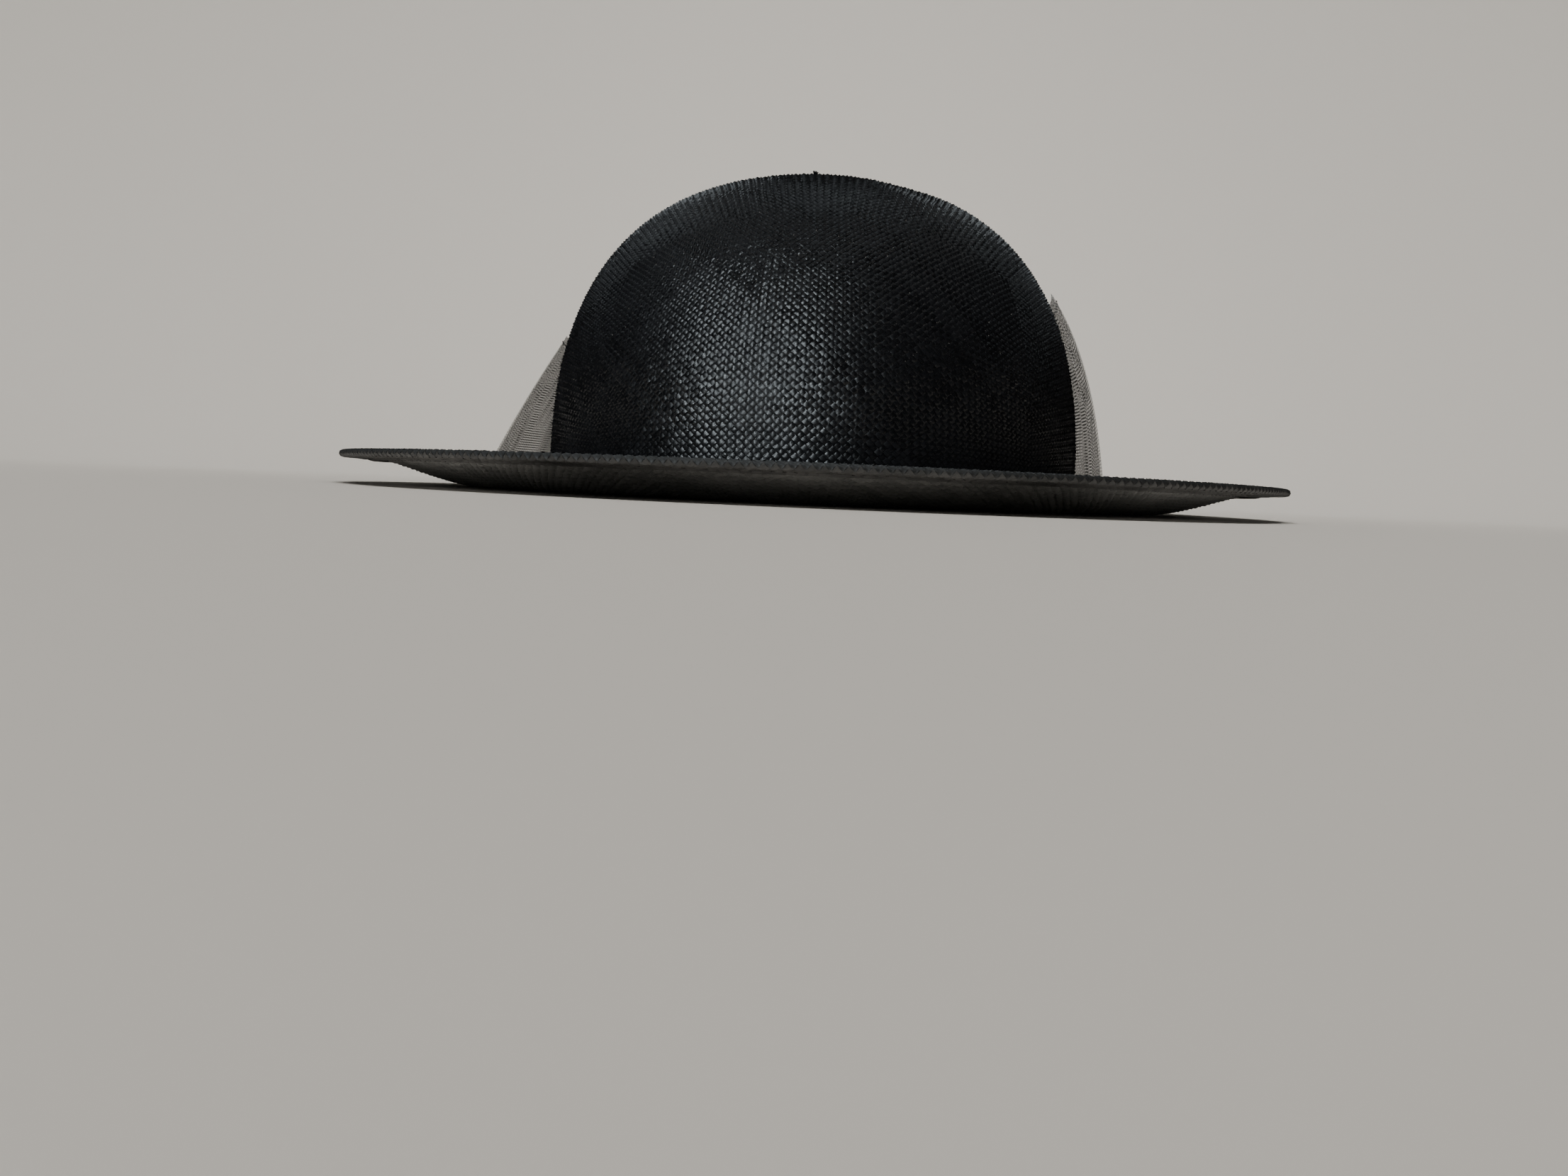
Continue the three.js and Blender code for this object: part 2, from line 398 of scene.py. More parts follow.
# A straw's points from edge to edge, how far its edges turn down, and how uneven straws are
STRAW_SIDES = np.array([-1.0, 0.0, 1.0])
STRAW_ROUNDING = 1.0
STRAW_UNEVEN_LIFT = 0.14
STRAW_UNEVEN_TILT = 0.12
STRAW_UNEVEN_WIDTH = 0.06
STRAW_UNEVEN_LIMIT = 2
STRIP_HALF_SHARE = 0.4


def straw_object(name, straws, cover, lift, finish, seed):
    """One mesh of flat straws, three points across, each a little uneven, with its own UV strip."""
    chance = np.random.default_rng(seed)
    side = STRAW_SIDES
    longest = max(len(table) for table in straws)
    points, faces, strip_uv = [], [], []
    count = 0
    for number, table in enumerate(straws):
        place, out, rise, width = table[:, :3], table[:, 3:6], table[:, 6], table[:, 7]
        run = np.gradient(place, axis=0)
        across = np.cross(out, run)
        across /= np.linalg.norm(across, axis=-1, keepdims=True)
        crossings = np.arange(len(table)) / 2
        chances = chance.standard_normal((2, len(table) // 2 + 2))
        chances = np.clip(chances, -STRAW_UNEVEN_LIMIT, STRAW_UNEVEN_LIMIT)
        knots = np.arange(chances.shape[1])
        uneven_lift, uneven_tilt = (np.interp(crossings, knots, row) for row in chances)
        rise = rise * (1 + STRAW_UNEVEN_LIFT * uneven_lift)
        tilt = STRAW_UNEVEN_TILT * uneven_tilt
        width = width * cover * (1 + STRAW_UNEVEN_WIDTH * chance.uniform(-1, 1))
        height = lift * (rise[:, None] * (1 - STRAW_ROUNDING * np.abs(side)) + tilt[:, None] * side)
        offset = 0.5 * width[:, None] * side
        placed = place[:, None] + across[:, None] * offset[..., None] + out[:, None] * height[..., None]
        points.append(placed.reshape(-1, 3))
        for left in range(len(side) - 1):
            here = count + len(side) * np.arange(len(table) - 1) + left
            ahead = here + len(side)
            faces.append(np.stack([here, ahead, ahead + 1, here + 1], axis=-1))
        u = np.repeat(np.arange(len(table)) / (longest - 1), len(side))
        v = np.tile((number + 0.5 + STRIP_HALF_SHARE * side) / len(straws), len(table))
        strip_uv.append(np.stack([u, v], axis=-1))
        count += len(placed) * len(side)
    points = np.concatenate(points)
    return smooth_object(name, points, np.concatenate(faces), np.concatenate(strip_uv), finish)


class Value:
    """A socket of a material. Sums on it add Math nodes, and node() adds any other node."""

    def __init__(self, tree, socket=None):
        self.tree = tree
        self.socket = socket

    def node(self, kind, settings=None, values=None, output=0):
        made = self.tree.nodes.new(kind)
        for name, setting in (settings or {}).items():
            setattr(made, name, setting)
        for name, value in (values or {}).items():
            if isinstance(value, Value):
                self.tree.links.new(value.socket, made.inputs[name])
            else:
                made.inputs[name].default_value = value
        return Value(self.tree, made.outputs[output])

    def maths(self, operation, first, second=0.0):
        return self.node("ShaderNodeMath", {"operation": operation}, {0: first, 1: second})

    def part(self, output):
        """Another output of the node that this value comes from."""
        return Value(self.tree, self.socket.node.outputs[output])

    def feed(self, socket):
        self.tree.links.new(self.socket, socket)

    def __add__(self, other):
        return self.maths("ADD", self, other)

    def __radd__(self, other):
        return self.maths("ADD", other, self)

    def __sub__(self, other):
        return self.maths("SUBTRACT", self, other)

    def __rsub__(self, other):
        return self.maths("SUBTRACT", other, self)

    def __mul__(self, other):
        return self.maths("MULTIPLY", self, other)

    def __rmul__(self, other):
        return self.maths("MULTIPLY", other, self)


# A Mix node's colour sockets go by number, because its other sockets have the same names
MIX_FIRST = 6
MIX_SECOND = 7
MIX_COLOUR = 2


def blank_finish(name):
    """A new material with its shader, and a Value to hang nodes on."""
    finish = bpy.data.materials.new(name)
    finish.use_nodes = True
    shader = finish.node_tree.nodes["Principled BSDF"]
    return finish, shader, Value(finish.node_tree)


def colour_between(tool, share, dark, pale):
    """A colour that goes from dark to pale as the share goes from 0 to 1."""
    colours = {"Factor": share, MIX_FIRST: dark, MIX_SECOND: pale}
    return tool.node("ShaderNodeMix", {"data_type": "RGBA", "clamp_factor": True}, colours, MIX_COLOUR)


def strand_tone(tool, strand):
    """A random tone, from 0 to 1, for each whole number that the strand's value passes."""
    number = tool.maths("FLOOR", strand)
    return tool.node("ShaderNodeTexWhiteNoise", {"noise_dimensions": "1D"}, {"W": number}, "Value")


# Streaks along each straw, and how far they and the straw's own tone change its colour and gloss
STREAKS_ALONG = 0.2
STREAKS_ACROSS = 5.0
STREAK_DETAIL = 3.0
STREAK_PALENESS = 0.5
STREAK_ROUGHNESS = 0.2
STREAK_BUMP = 0.2
STREAK_DEPTH = 0.0002
TONE_PALENESS = 0.6
TONE_ROUGHNESS = 0.1
DARKENING = 0.05


def straw_finish(name, dark, pale, roughness, straw_count, straw_points):
    """Dyed straw: each straw a little lighter or darker, with fine streaks along it."""
    finish, shader, tool = blank_finish(name)
    spot = tool.node("ShaderNodeUVMap", {"uv_map": "OFBake"})
    along = tool.node("ShaderNodeSeparateXYZ", None, {"Vector": spot})
    across = along.part("Y") * straw_count
    tone = strand_tone(tool, across)
    streak_place = {"X": along * (STREAKS_ALONG * straw_points), "Y": across * STREAKS_ACROSS}
    streak_spot = tool.node("ShaderNodeCombineXYZ", None, streak_place)
    streak_values = {"Vector": streak_spot, "Scale": 1.0, "Detail": STREAK_DETAIL}
    streak = tool.node("ShaderNodeTexNoise", {"noise_dimensions": "2D"}, streak_values)
    paleness = TONE_PALENESS * tone + STREAK_PALENESS * streak - DARKENING
    colour = colour_between(tool, paleness, dark, pale)
    gloss = roughness + TONE_ROUGHNESS * tone + STREAK_ROUGHNESS * (streak - 0.5)
    bump_values = {"Strength": STREAK_BUMP, "Distance": STREAK_DEPTH, "Height": streak}
    bump = tool.node("ShaderNodeBump", None, bump_values)
    colour.feed(shader.inputs["Base Color"])
    gloss.feed(shader.inputs["Roughness"])
    bump.feed(shader.inputs["Normal"])
    return finish


crown_straws = []
for lean in (1, -1):
    columns = (-TOP_HALF_COLUMNS, TOP_HALF_COLUMNS)
    rows = (-TOP_HALF_ROWS, TOP_HALF_ROWS)
    crown_straws += patch_straws(columns, rows, lean, crown_top_at, 1, lean)
    for quarter in range(4):
        at_side = quarter % 2 == 0
        half_columns = TOP_HALF_ROWS if at_side else TOP_HALF_COLUMNS
        columns = (-half_columns, half_columns)
        first_row = SIDE_FIRST_ROW if at_side else FRONT_FIRST_ROW
        rows = (first_row, first_row + WALL_ROWS + SEAM_ROWS)
        surface = crown_wall_below(quarter * RIGHT_ANGLE, half_columns, first_row)
        over = lean if at_side else -lean
        crown_straws += patch_straws(columns, rows, lean, surface, -1, over)
crown_straws = joined_straws(crown_straws)
piece_straws = math.ceil(len(crown_straws) / CROWN_PIECES)
longest_straw = max(map(len, crown_straws))
crown_finish = straw_finish(
    "glossy_black_straw", CROWN_DARK, CROWN_PALE, CROWN_ROUGHNESS, piece_straws, longest_straw
)
for number in range(CROWN_PIECES):
    name = f"crown_straws_{number + 1}"
    some_straws = crown_straws[number::CROWN_PIECES]
    seed = CROWN_SEED + number
    crown = straw_object(name, some_straws, CROWN_STRAW_COVER, CROWN_STRAW_LIFT, crown_finish, seed)
    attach(crown, "root")
    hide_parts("crown")

# Brim
# A ring of the same straw, woven on from the crown's foot. It dips to the ring that it rests on and
# then sweeps up to its edge, and the weave grows a little coarser on the way out.
MILLIMETRE = 0.001
BRIM_REACH = np.array([-1.2, 5, 11, 18, 24, 30, 36, 42, 48, 54, 60]) * MILLIMETRE
BRIM_LIFT = np.array([3.4, 2.3, 0.9, 0, 0, 1.2, 2.9, 4.9, 6.7, 7.8, 8.3]) * MILLIMETRE
BRIM_SMOOTHING = np.linspace(-0.003, 0.003, 7)
BRIM_COLUMNS = 336
BRIM_ROWS = 27
BRIM_STRAW_COVER = 1.04
BRIM_STRAW_LIFT = 0.0004
BRIM_LAYERS = (("brim_straws_left", 1, 21), ("brim_straws_right", -1, 22))
BRIM_DARK = (0.024, 0.024, 0.0225, 1.0)
BRIM_PALE = (0.066, 0.064, 0.059, 1.0)
BRIM_ROUGHNESS = 0.48
CROWN_MEAN_RADIUS = 0.5 * (CROWN_HALF_WIDTH + CROWN_HALF_DEPTH)


def brim_underside(reach):
    """The height of the brim's underside, a given way out from the crown's foot."""
    return np.mean([np.interp(reach + shift, BRIM_REACH, BRIM_LIFT) for shift in BRIM_SMOOTHING], axis=0)


def oval_point(reach, angle, height):
    """A point a given way out from the crown's foot."""
    x = (CROWN_HALF_WIDTH + reach) * np.cos(angle)
    y = (CROWN_HALF_DEPTH + reach) * np.sin(angle)
    return np.stack([x, y, height], axis=-1)


def brim_at(column, row):
    """The middle of the brim's wall, with crossings that keep their shape as they grow outward."""
    start = CROWN_MEAN_RADIUS + BRIM_REACH[0]
    reach = start * np.exp(FULL_TURN * row / BRIM_COLUMNS) - CROWN_MEAN_RADIUS
    return oval_point(reach, FULL_TURN * column / BRIM_COLUMNS, brim_underside(reach) + 0.5 * STRAW_WALL)


def ring_straws(surface, columns, rows, lean, outward):
    """Straws that slant across a woven ring, from its inner edge to its outer one."""
    row = np.arange(0, rows + 0.5 * STRAW_STEP, STRAW_STEP)
    return [straw(surface, number + lean * row, row, lean, outward, lean) for number in range(columns)]


brim_straw_points = BRIM_ROWS / STRAW_STEP
brim_finish = straw_finish(
    "satin_black_straw", BRIM_DARK, BRIM_PALE, BRIM_ROUGHNESS, BRIM_COLUMNS, brim_straw_points
)
for name, lean, seed in BRIM_LAYERS:
    brim_straws = ring_straws(brim_at, BRIM_COLUMNS, BRIM_ROWS, lean, -1)
    brim = straw_object(name, brim_straws, BRIM_STRAW_COVER, BRIM_STRAW_LIFT, brim_finish, seed)
    brim_and_net.objects.link(brim)
    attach(brim, "root")
    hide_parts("brim")

# Hem
# The brim's edge, turned under by 9 mm round a narrow fold and stitched down through both layers
# with one row of black thread, which pulls a groove into the straw.
BRIM_WIDTH = 0.06
HEM_WIDTH = 0.009
HEM_WALL = 0.001
HEM_DROP = 0.0008
HEM_FOLD_RISE = 0.0007
HEM_LIP = 0.0018
HEM_UNDER_STEPS = 30
HEM_FOLD_STEPS = 16
HEM_COLUMNS = 380
HEM_ROWS = 4.5
HEM_STRAW_LIFT = 0.00014
HEM_SEED = 31
GROOVE_INSET = 0.0072
GROOVE_DEPTH = 0.00045
GROOVE_SPREAD = 0.0006
HEM_DARK = (0.004, 0.004, 0.0037, 1.0)
HEM_PALE = (0.014, 0.0132, 0.012, 1.0)
HEM_ROUGHNESS = 0.55

fold_radius = 0.5 * (HEM_DROP + HEM_FOLD_RISE)
fold_inset = 0.5 * HEM_WALL + fold_radius
under_insets = np.linspace(HEM_WIDTH, fold_inset, HEM_UNDER_STEPS)
groove = GROOVE_DEPTH * np.exp(-(((under_insets - GROOVE_INSET) / GROOVE_SPREAD) ** 2))
under_heights = brim_underside(BRIM_WIDTH - under_insets) - HEM_DROP + groove
fold_turns = np.linspace(-RIGHT_ANGLE, RIGHT_ANGLE, HEM_FOLD_STEPS)[1:]
fold_middle = brim_underside(BRIM_WIDTH - fold_inset) + 0.5 * (HEM_FOLD_RISE - HEM_DROP)
fold_insets = fold_inset - fold_radius * np.cos(fold_turns)
fold_heights = fold_middle + fold_radius * np.sin(fold_turns)
hem_insets = np.concatenate([under_insets, fold_insets, [HEM_LIP]])
hem_heights = np.concatenate([under_heights, fold_heights, [fold_heights[-1]]])
hem_way = np.concatenate([[0], np.cumsum(np.hypot(np.diff(hem_insets), np.diff(hem_heights)))])


def hem_at(column, row):
    """The hem's straw, from its inner edge under the brim round the fold to the lip on top."""
    way = row / HEM_ROWS * hem_way[-1]
    reach = BRIM_WIDTH - np.interp(way, hem_way, hem_insets)
    return oval_point(reach, FULL_TURN * column / HEM_COLUMNS, np.interp(way, hem_way, hem_heights))


hem_straw_points = HEM_ROWS / STRAW_STEP
hem_finish = straw_finish(
    "hem_black_straw", HEM_DARK, HEM_PALE, HEM_ROUGHNESS, 2 * HEM_COLUMNS, hem_straw_points
)
hem_straws = []
for lean in (1, -1):
    hem_straws += ring_straws(hem_at, HEM_COLUMNS, HEM_ROWS, lean, 1)
hem = straw_object("brim_hem_straws", hem_straws, BRIM_STRAW_COVER, HEM_STRAW_LIFT, hem_finish, HEM_SEED)
brim_and_net.objects.link(hem)
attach(hem, "root")
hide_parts("brim_hem")

# Stitches
# Black sewing thread holds the hem: one row of running stitches goes through both layers, and shows
# in the groove under the brim and again on the brim's upper side.
STITCH_SPACING = 0.0032
STITCH_LENGTH = 0.0026
STITCH_SIZES = (0.86, 1.08)
STITCH_SEED = 5
STITCH_SEGMENTS = 6
STITCH_RINGS = 4
STITCH_ROW_POINTS = 360
THREAD_THICKNESS = 0.0004
THREAD_DARK = (0.008, 0.008, 0.008, 1.0)
THREAD_PALE = (0.03, 0.029, 0.028, 1.0)
THREAD_ROUGHNESS = 0.55
FIBRE_SCALE = 2600.0
FIBRE_DETAIL = 2.0
FIBRE_BUMP = 0.4
FIBRE_DEPTH = 0.0001

# A Random Value node's sockets for plain numbers, which share their names with its others
RANDOM_LEAST = 2
RANDOM_MOST = 3
RANDOM_NUMBER = 1


def thread_finish():
    """Spun thread: fine light and dark fibres, with a soft sheen."""
    finish, shader, tool = blank_finish("black_thread")
    spot = tool.node("ShaderNodeTexCoord", None, None, "Object")
    fibre_values = {"Vector": spot, "Scale": FIBRE_SCALE, "Detail": FIBRE_DETAIL}
    fibre = tool.node("ShaderNodeTexNoise", None, fibre_values)
    colour = colour_between(tool, fibre, THREAD_DARK, THREAD_PALE)
    bump_values = {"Strength": FIBRE_BUMP, "Distance": FIBRE_DEPTH, "Height": fibre}
    bump = tool.node("ShaderNodeBump", None, bump_values)
    colour.feed(shader.inputs["Base Color"])
    bump.feed(shader.inputs["Normal"])
    shader.inputs["Roughness"].default_value = THREAD_ROUGHNESS
    return finish


def stitch_nodes(thread):
    """Geometry nodes that lay stitches along a line of edges."""
    tree = bpy.data.node_groups.new("running_stitch", "GeometryNodeTree")
    tree.is_modifier = True
    tree.interface.new_socket("Geometry", in_out="INPUT", socket_type="NodeSocketGeometry")
    for label in ("Spacing", "Stitch Length", "Thread Thickness"):
        tree.interface.new_socket(label, in_out="INPUT", socket_type="NodeSocketFloat")
    tree.interface.new_socket("Geometry", in_out="OUTPUT", socket_type="NodeSocketGeometry")
    tool = Value(tree)
    line = tool.node("NodeGroupInput")
    half_length = 0.5 * line.part("Stitch Length")
    half_thickness = 0.5 * line.part("Thread Thickness")
    curve = tool.node("GeometryNodeMeshToCurve", None, {"Mesh": line})
    spot_values = {"Curve": curve, "Length": line.part("Spacing")}
    spots = tool.node("GeometryNodeResampleCurve", {"mode": "LENGTH"}, spot_values)
    heading = tool.node("GeometryNodeInputTangent")
    turn = tool.node("FunctionNodeAlignRotationToVector", {"axis": "X"}, {"Vector": heading})
    bead_values = {"Segments": STITCH_SEGMENTS, "Rings": STITCH_RINGS, "Radius": 1.0}
    bead = tool.node("GeometryNodeMeshUVSphere", None, bead_values)
    shape_values = {"X": half_length, "Y": half_thickness, "Z": half_thickness}
    shape = tool.node("ShaderNodeCombineXYZ", None, shape_values)
    stitch = tool.node("GeometryNodeTransform", None, {"Geometry": bead, "Scale": shape})
    least, most = STITCH_SIZES
    size_values = {RANDOM_LEAST: least, RANDOM_MOST: most, "Seed": STITCH_SEED}
    size = tool.node("FunctionNodeRandomValue", {"data_type": "FLOAT"}, size_values, RANDOM_NUMBER)
    row_values = {"Points": spots, "Instance": stitch, "Rotation": turn, "Scale": size}
    row = tool.node("GeometryNodeInstanceOnPoints", None, row_values)
    solid = tool.node("GeometryNodeRealizeInstances", None, {"Geometry": row})
    dyed = tool.node("GeometryNodeSetMaterial", None, {"Geometry": solid, "Material": thread})
    result = tree.nodes.new("NodeGroupOutput")
    dyed.feed(result.inputs["Geometry"])
    return tree


def stitch_row(name, points, closed, tree):
    """A row of stitches along the points, as one plain mesh."""
    count = len(points)
    edges = [(number, (number + 1) % count) for number in range(count if closed else count - 1)]
    line = bpy.data.meshes.new(f"{name}_line")
    line.from_pydata(points.tolist(), edges, [])
    guide = scene_object(f"{name}_line", line)
    modifier = guide.modifiers.new("stitches", "NODES")
    modifier.node_group = tree
    sizes = {
        "Spacing": STITCH_SPACING,
        "Stitch Length": STITCH_LENGTH,
        "Thread Thickness": THREAD_THICKNESS,
    }
    for socket in tree.interface.items_tree:
        if socket.in_out == "INPUT" and socket.name in sizes:
            modifier[socket.identifier] = sizes[socket.name]
    shown = guide.evaluated_get(bpy.context.evaluated_depsgraph_get())
    mesh = bpy.data.meshes.new_from_object(shown)
    mesh.name = name
    mesh.shade_smooth()
    guide.modifiers.remove(modifier)
    bpy.data.objects.remove(guide)
    return scene_object(name, mesh)


black_thread = thread_finish()
running_stitch = stitch_nodes(black_thread)
row_turns = np.linspace(0, FULL_TURN, STITCH_ROW_POINTS, endpoint=False)
row_reach = np.full(STITCH_ROW_POINTS, BRIM_WIDTH - GROOVE_INSET)
under_drop = HEM_DROP - GROOVE_DEPTH + HEM_STRAW_LIFT
for name, lift in (("hem_stitches_under", -under_drop), ("hem_stitches_over", STRAW_WALL)):
    row_line = oval_point(row_reach, row_turns, brim_underside(row_reach) + lift)
    stitches = stitch_row(name, row_line, True, running_stitch)
    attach(stitches, "root")
    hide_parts("brim_hem")

# Straw tip
# The cut ends of a few straws stand in a small tuft at the front of the crown's top, where they are
# worked into the weave. Each is a short flat strip of the crown's own straw, with its own lean.
TIP_COLUMN = -1.0
TIP_ROW = -15.0
TIP_ENDS = 5
TIP_LENGTH = 0.0012
TIP_LENGTH_SHARES = (0.7, 1.1)
TIP_LEANS = (math.radians(4), math.radians(14))
TIP_CURL = 1.2
TIP_TURN_UNEVEN = 0.3
TIP_SPREAD = 0.0003
TIP_HALF_WIDTH = 0.00036
TIP_HALF_THICKNESS = 0.00014
TIP_SHARES = np.array([0.0, 0.5, 1.0])
TIP_WIDTHS = np.array([1.0, 0.9, 0.55])
TIP_CORNERS = ((-1, -1), (1, -1), (1, 1), (-1, 1))
TIP_SEED = 41

tip_spot = straw(crown_top_at, np.array([TIP_COLUMN]), np.array([TIP_ROW]), 1, 1, 1)[0]
tip_foot = tip_spot[:3]
tip_out = tip_spot[3:6]
tip_right = np.cross((0.0, 1.0, 0.0), tip_out)
tip_right /= np.linalg.norm(tip_right)
tip_back = np.cross(tip_out, tip_right)
tip_chance = np.random.default_rng(TIP_SEED)
tip_points, tip_faces = [], []
corners = len(TIP_CORNERS)
for number in range(TIP_ENDS):
    angle = FULL_TURN * (number + tip_chance.uniform(-TIP_TURN_UNEVEN, TIP_TURN_UNEVEN)) / TIP_ENDS
    leans = tip_chance.uniform(*TIP_LEANS) * (1 + TIP_CURL * TIP_SHARES)
    length = TIP_LENGTH * tip_chance.uniform(*TIP_LENGTH_SHARES)
    level = math.cos(angle) * tip_right + math.sin(angle) * tip_back
    beside = math.cos(angle) * tip_back - math.sin(angle) * tip_right
    first = len(tip_points)
    for share, width, lean in zip(TIP_SHARES, TIP_WIDTHS, leans):
        way = math.sin(lean) * level + math.cos(lean) * tip_out
        flat = np.cross(beside, way)
        middle = tip_foot + TIP_SPREAD * level + share * length * way
        for across, through in TIP_CORNERS:
            corner = across * width * TIP_HALF_WIDTH * beside + through * TIP_HALF_THICKNESS * flat
            tip_points.append(middle + corner)
    last = len(tip_points) - corners
    for row in range(first, last, corners):
        for corner in range(corners):
            here = row + corner
            next_corner = row + (corner + 1) % corners
            tip_faces.append((here, next_corner, next_corner + corners, here + corners))
    tip_faces.append(tuple(reversed(range(first, first + corners))))
    tip_faces.append(tuple(range(last, last + corners)))
tip_mesh = bpy.data.meshes.new("straw_tip")
tip_mesh.from_pydata([point.tolist() for point in tip_points], [], tip_faces)
tip_mesh.materials.append(crown_finish)
tip = scene_object("straw_tip", tip_mesh)
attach(tip, "root")
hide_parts("crown")

# Net
# A strip of sheer black net, folded double along its lower edge. Its top edge is gathered and sewn to
# the crown round the sides and back with black thread, and it falls in soft uneven flutes, standing
# off the crown down to the brim.
NET_FIRST_ANGLE = math.radians(-15)
NET_LAST_ANGLE = math.radians(195)
NET_TOPS = np.array([67, 62, 57, 54, 52, 50, 48]) * MILLIMETRE
NET_SPREADS = np.array([8, 10, 15, 20, 22, 22, 20]) * MILLIMETRE
NET_CURVES = np.array([0.95, 1.0, 1.05, 1.1, 1.1, 1.1, 1.15])
NET_STAND_OFF = 0.0003
NET_TOP_GAP = 0.0002
NET_FOOT_GAP = 0.0007
NET_BRIM_GAP = 0.0004
NET_FOLD_DROP = 0.0002
NET_STEPS = 312
NET_FALL_STEPS = 24
NET_FOLD_STEPS = 4
NET_CUT = (0.42, 0.12)
NET_SEAM_FALL = 0.04
NET_SEAM_LIFT = 0.25 * THREAD_THICKNESS
NET_PITCH = 0.0009
NET_THREAD_SHARE = 0.32
NET_SLANT = math.radians(60)
NET_DARK = (0.009, 0.008, 0.007, 1.0)
NET_PALE = (0.03, 0.026, 0.02, 1.0)
NET_ROUGHNESS = 0.6

# The net's folds: flutes at its foot, gathers at its top, and a top corner that stands out
NET_FLUTES = 13
NET_FLUTE_DEPTH = 0.0018
NET_FLUTE_WANDER = 0.9
NET_GATHERS = 58
NET_GATHER_DEPTH = 0.0005
NET_GATHER_WANDER = 2.2
NET_SLOW_DRIFTS = 3
NET_SLOW_DRIFT_START = 0.5
NET_QUICK_DRIFTS = 8
NET_QUICK_DRIFT_SHARE = 0.5
NET_UNEVEN_SHARE = 0.35
NET_UNEVEN_WAVES = 5
NET_UNEVEN_START = 1.0
NET_CORNER_FLARE = 0.0016
NET_CORNER_POWER = 8


def station(values, along):
    """A smooth line through values that stand at even steps along the net."""
    place = along * (len(values) - 1)
    step = np.minimum(place.astype(int), len(values) - 2)
    part = place - step
    longer = np.concatenate([[2 * values[0] - values[1]], values, [2 * values[-1] - values[-2]]])
    before, here, after, beyond = (longer[step + shift] for shift in range(4))
    bend = 2 * before - 5 * here + 4 * after - beyond
    twist = 3 * (here - after) + beyond - before
    return here + 0.5 * part * (after - before + part * (bend + part * twist))


def net_finish():
    """Fine threads that cross on the slant, with open air between them."""
    finish, shader, tool = blank_finish("sheer_black_net")
    spot = tool.node("ShaderNodeUVMap", {"uv_map": "OFBake"})
    along = tool.node("ShaderNodeSeparateXYZ", None, {"Vector": spot})
    cut_length, cut_height = NET_CUT
    level = along * (cut_length * math.sin(NET_SLANT) / NET_PITCH)
    upright = along.part("Y") * (cut_height * math.cos(NET_SLANT) / NET_PITCH)
    rising = level - upright
    falling = level + upright
    rising_thread = tool.maths("LESS_THAN", tool.maths("FRACT", rising), NET_THREAD_SHARE)
    falling_thread = tool.maths("LESS_THAN", tool.maths("FRACT", falling), NET_THREAD_SHARE)
    thread = tool.maths("MAXIMUM", rising_thread, falling_thread)
    colour = colour_between(tool, strand_tone(tool, rising), NET_DARK, NET_PALE)
    colour.feed(shader.inputs["Base Color"])
    thread.feed(shader.inputs["Alpha"])
    shader.inputs["Roughness"].default_value = NET_ROUGHNESS
    return finish


net_along = np.linspace(0, 1, NET_STEPS + 1)
net_turn = NET_FIRST_ANGLE + (NET_LAST_ANGLE - NET_FIRST_ANGLE) * net_along
net_top = station(NET_TOPS, net_along)
net_spread = station(NET_SPREADS, net_along)
net_curve = station(NET_CURVES, net_along)


def net_folds(count, wander):
    """Folds along the net, from -1 to 1, that drift a little nearer together and further apart."""
    drift = np.sin(FULL_TURN * NET_SLOW_DRIFTS * net_along + NET_SLOW_DRIFT_START)
    drift = drift + NET_QUICK_DRIFT_SHARE * np.sin(FULL_TURN * NET_QUICK_DRIFTS * net_along)
    return np.cos(FULL_TURN * count * net_along + wander * drift)


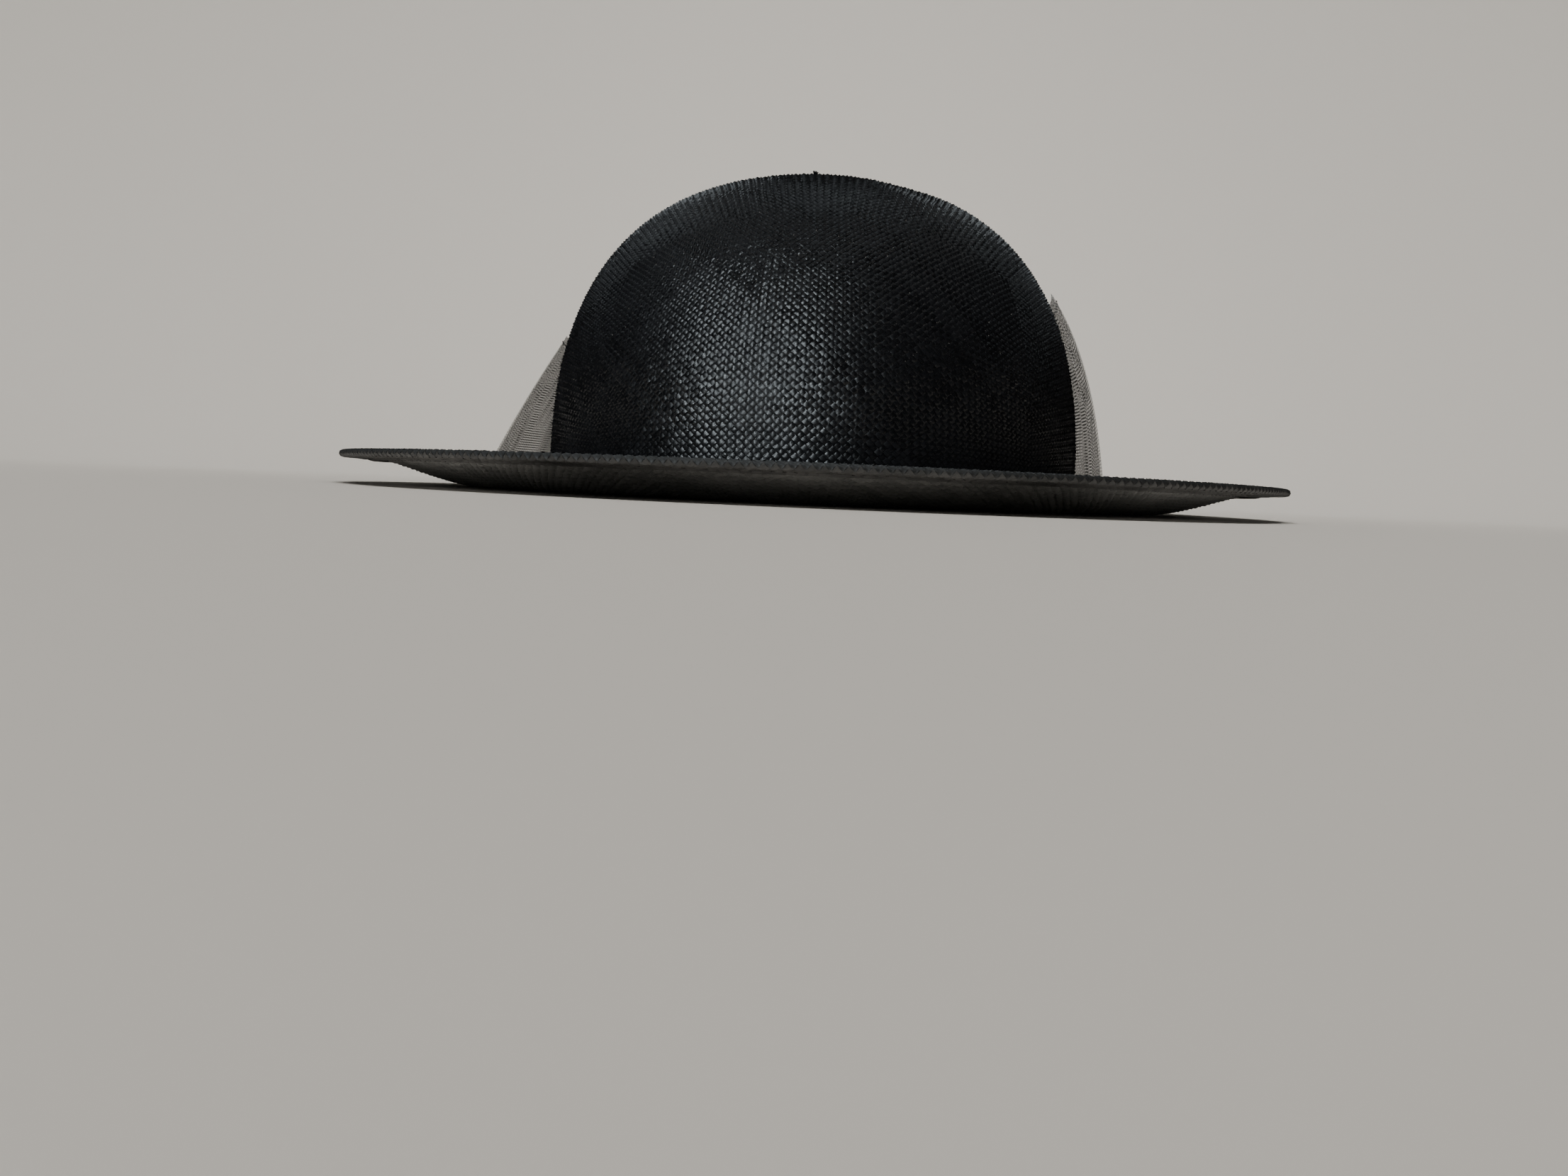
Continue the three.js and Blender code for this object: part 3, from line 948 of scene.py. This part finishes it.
net_uneven = np.sin(FULL_TURN * NET_UNEVEN_WAVES * net_along + NET_UNEVEN_START)
net_fullness = np.sin(math.pi * net_along) * (1 + NET_UNEVEN_SHARE * net_uneven)
net_flute = NET_FLUTE_DEPTH * net_fullness * net_folds(NET_FLUTES, NET_FLUTE_WANDER)
net_gather = NET_GATHER_DEPTH * net_fullness * (1 + net_folds(NET_GATHERS, NET_GATHER_WANDER))
net_gather = net_gather + NET_CORNER_FLARE * (1 - net_along) ** NET_CORNER_POWER
net_foot = brim_underside(NET_STAND_OFF + net_spread + net_flute) + STRAW_WALL + NET_BRIM_GAP


def net_layer_gap(fall):
    """How far the net's outer layer stands off its inner one."""
    return NET_TOP_GAP + (NET_FOOT_GAP - NET_TOP_GAP) * fall


def net_line(fall, beyond):
    """One line along the net: fall runs from 0 at the top to 1 at the foot, beyond is metres outward."""
    height = net_top + (net_foot - net_top) * fall
    rise = np.clip((height - CROWN_FOOT) / (CROWN_TOP - CROWN_FOOT), 0, 1)
    width = (1 - rise**CROWN_SIDE_POWER) ** (1 / CROWN_TOP_POWER)
    folds = net_flute * fall**2 + net_gather * (1 - fall) ** 2
    off = NET_STAND_OFF + net_spread * fall**net_curve + folds + beyond
    x = (CROWN_HALF_WIDTH * width + off) * np.cos(net_turn)
    y = (CROWN_HALF_DEPTH * width + off) * np.sin(net_turn)
    return np.stack([x, y, height], axis=-1)


falls = np.linspace(0, 1, NET_FALL_STEPS + 1)
net_lines = [net_line(fall, 0.0) for fall in falls]
for fold in np.linspace(0, 1, NET_FOLD_STEPS + 2)[1:-1]:
    fold_line = net_line(1.0, fold * NET_FOOT_GAP)
    fold_line[:, 2] -= NET_FOLD_DROP * math.sin(math.pi * fold)
    net_lines.append(fold_line)
net_lines += [net_line(fall, net_layer_gap(fall)) for fall in falls[::-1]]
net_grid = np.stack(net_lines)
net_rows, net_columns = net_grid.shape[:2]
here = (np.arange(net_rows - 1)[:, None] * net_columns + np.arange(net_columns - 1)).ravel()
below = here + net_columns
net_faces = np.stack([here, here + 1, below + 1, below], axis=-1)
net_uv = np.stack(np.meshgrid(net_along, np.linspace(0, 1, net_rows)), axis=-1).reshape(-1, 2)
net = smooth_object("net", net_grid.reshape(-1, 3), net_faces, net_uv, net_finish())
brim_and_net.objects.link(net)
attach(net, "root")
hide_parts("net_drape")
net_seam_line = net_line(NET_SEAM_FALL, net_layer_gap(NET_SEAM_FALL) + NET_SEAM_LIFT)
net_stitches = stitch_row("net_stitches", net_seam_line, False, running_stitch)
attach(net_stitches, "root")
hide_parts("net_drape")
